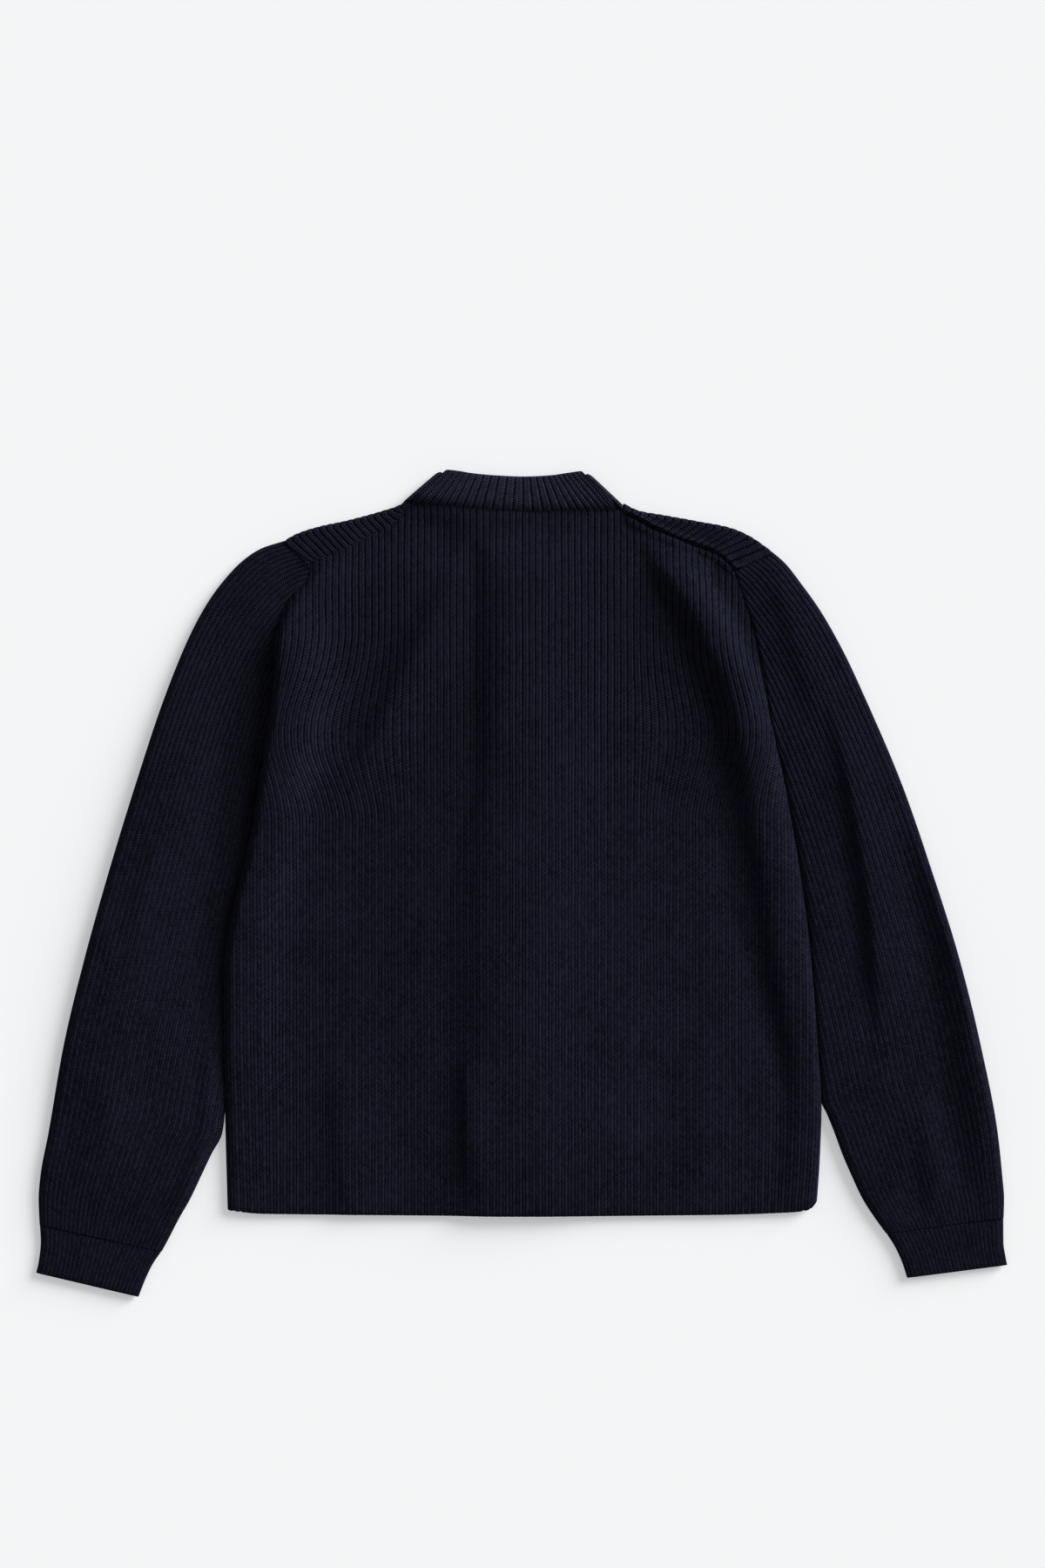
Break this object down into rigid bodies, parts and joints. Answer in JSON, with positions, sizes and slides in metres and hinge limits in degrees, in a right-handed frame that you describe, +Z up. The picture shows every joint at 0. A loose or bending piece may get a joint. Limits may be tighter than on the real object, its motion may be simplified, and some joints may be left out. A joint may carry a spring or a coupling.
{
  "type": "ribbed cardigan",
  "caption": "Chunky rib-knit cardigan laid flat face down, with long sleeves, knitted cuffs and a folded stand neckband.",
  "frame": {"origin": "bottom centre of the whole garment, on the surface that it lies on", "axes": "+X across the garment towards its right sleeve, +Y from hem to neck, +Z up from the surface"},
  "size_m": [0.8352, 0.7109, 0.014],
  "materials": {
    "knit": "heavy matt woollen rib in very dark navy",
    "button": "plain dark button with a soft shine"
  },
  "bodies": {
    "root": {"back": "knit", "front_left": "knit", "front_right": "knit", "band_left": "knit", "band_right": "knit", "neckband": "knit", "sleeve_left": "knit", "sleeve_right": "knit", "cuff_left": "knit", "cuff_right": "knit", "button_1": "button", "button_2": "button", "button_3": "button", "button_4": "button", "button_5": "button", "button_6": "button"}
  },
  "joints": []
}
